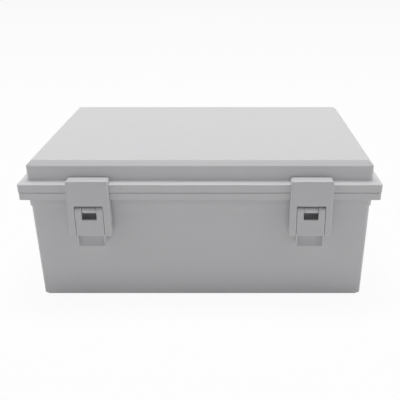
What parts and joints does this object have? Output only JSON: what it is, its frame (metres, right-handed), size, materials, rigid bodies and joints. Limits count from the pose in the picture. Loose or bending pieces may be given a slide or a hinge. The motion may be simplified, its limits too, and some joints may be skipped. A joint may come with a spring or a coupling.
{
  "type": "hinged plastic enclosure",
  "caption": "Light-grey plastic wall enclosure with a gasketed hinged lid, draw latches with finger tabs on the front, and a steel mounting plate inside.",
  "frame": {"origin": "centre of the flat wall face of the base, which is also the centre of the four wall screw holes", "axes": "+Z out of the wall towards the lid, +X along the long side, -Y towards the latches, +Y towards the hinges"},
  "size_m": [0.3, 0.2136, 0.1255],
  "materials": {
    "shell_plastic": "satin moulded polycarbonate, light grey",
    "latch_plastic": "satin moulded plastic, light grey",
    "seal_rubber": "matt black elastomer",
    "pin_steel": "drawn stainless pin",
    "screw_steel": "zinc-plated steel",
    "galvanised_steel": "galvanised sheet",
    "brass": "turned brass"
  },
  "bodies": {
    "base_body": {"base": "shell_plastic", "hinge_pin_left": "pin_steel", "hinge_pin_right": "pin_steel", "lever_pin_left": "pin_steel", "lever_pin_right": "pin_steel", "mounting_plate": "galvanised_steel", "plate_screws": "screw_steel", "plate_washers": "screw_steel", "plate_inserts": "brass", "wall_seal_washers": "seal_rubber", "earth_stud": "screw_steel", "earth_nut": "brass"},
    "lid_body": {"lid": "shell_plastic", "lid_gasket": "seal_rubber"},
    "lever_left_body": {"latch_lever_left": "latch_plastic"},
    "claw_left_body": {"latch_claw_left": "latch_plastic", "claw_pin_left": "pin_steel"},
    "lever_right_body": {"latch_lever_right": "latch_plastic"},
    "claw_right_body": {"latch_claw_right": "latch_plastic", "claw_pin_right": "pin_steel"}
  },
  "joints": [
    {"name": "lid_hinge", "type": "hinge", "parent": "base_body", "child": "lid_body", "pos_m": [0, 0.105, 0.1002], "axis": [-1, 0, 0], "range_deg": [0, 180]},
    {"name": "lever_left", "type": "hinge", "parent": "base_body", "child": "lever_left_body", "pos_m": [-0.092, -0.1004, 0.0852], "axis": [-1, 0, 0], "range_deg": [0, 120]},
    {"name": "claw_left", "type": "hinge", "parent": "lever_left_body", "child": "claw_left_body", "pos_m": [-0.092, -0.098, 0.0722], "axis": [1, 0, 0], "range_deg": [0, 138]},
    {"name": "lever_right", "type": "hinge", "parent": "base_body", "child": "lever_right_body", "pos_m": [0.092, -0.1004, 0.0852], "axis": [-1, 0, 0], "range_deg": [0, 120]},
    {"name": "claw_right", "type": "hinge", "parent": "lever_right_body", "child": "claw_right_body", "pos_m": [0.092, -0.098, 0.0722], "axis": [1, 0, 0], "range_deg": [0, 138]}
  ],
  "couplings": [
    {"joint": "claw_left", "follows": "lever_left", "ratio": 1.15},
    {"joint": "claw_right", "follows": "lever_right", "ratio": 1.15}
  ]
}
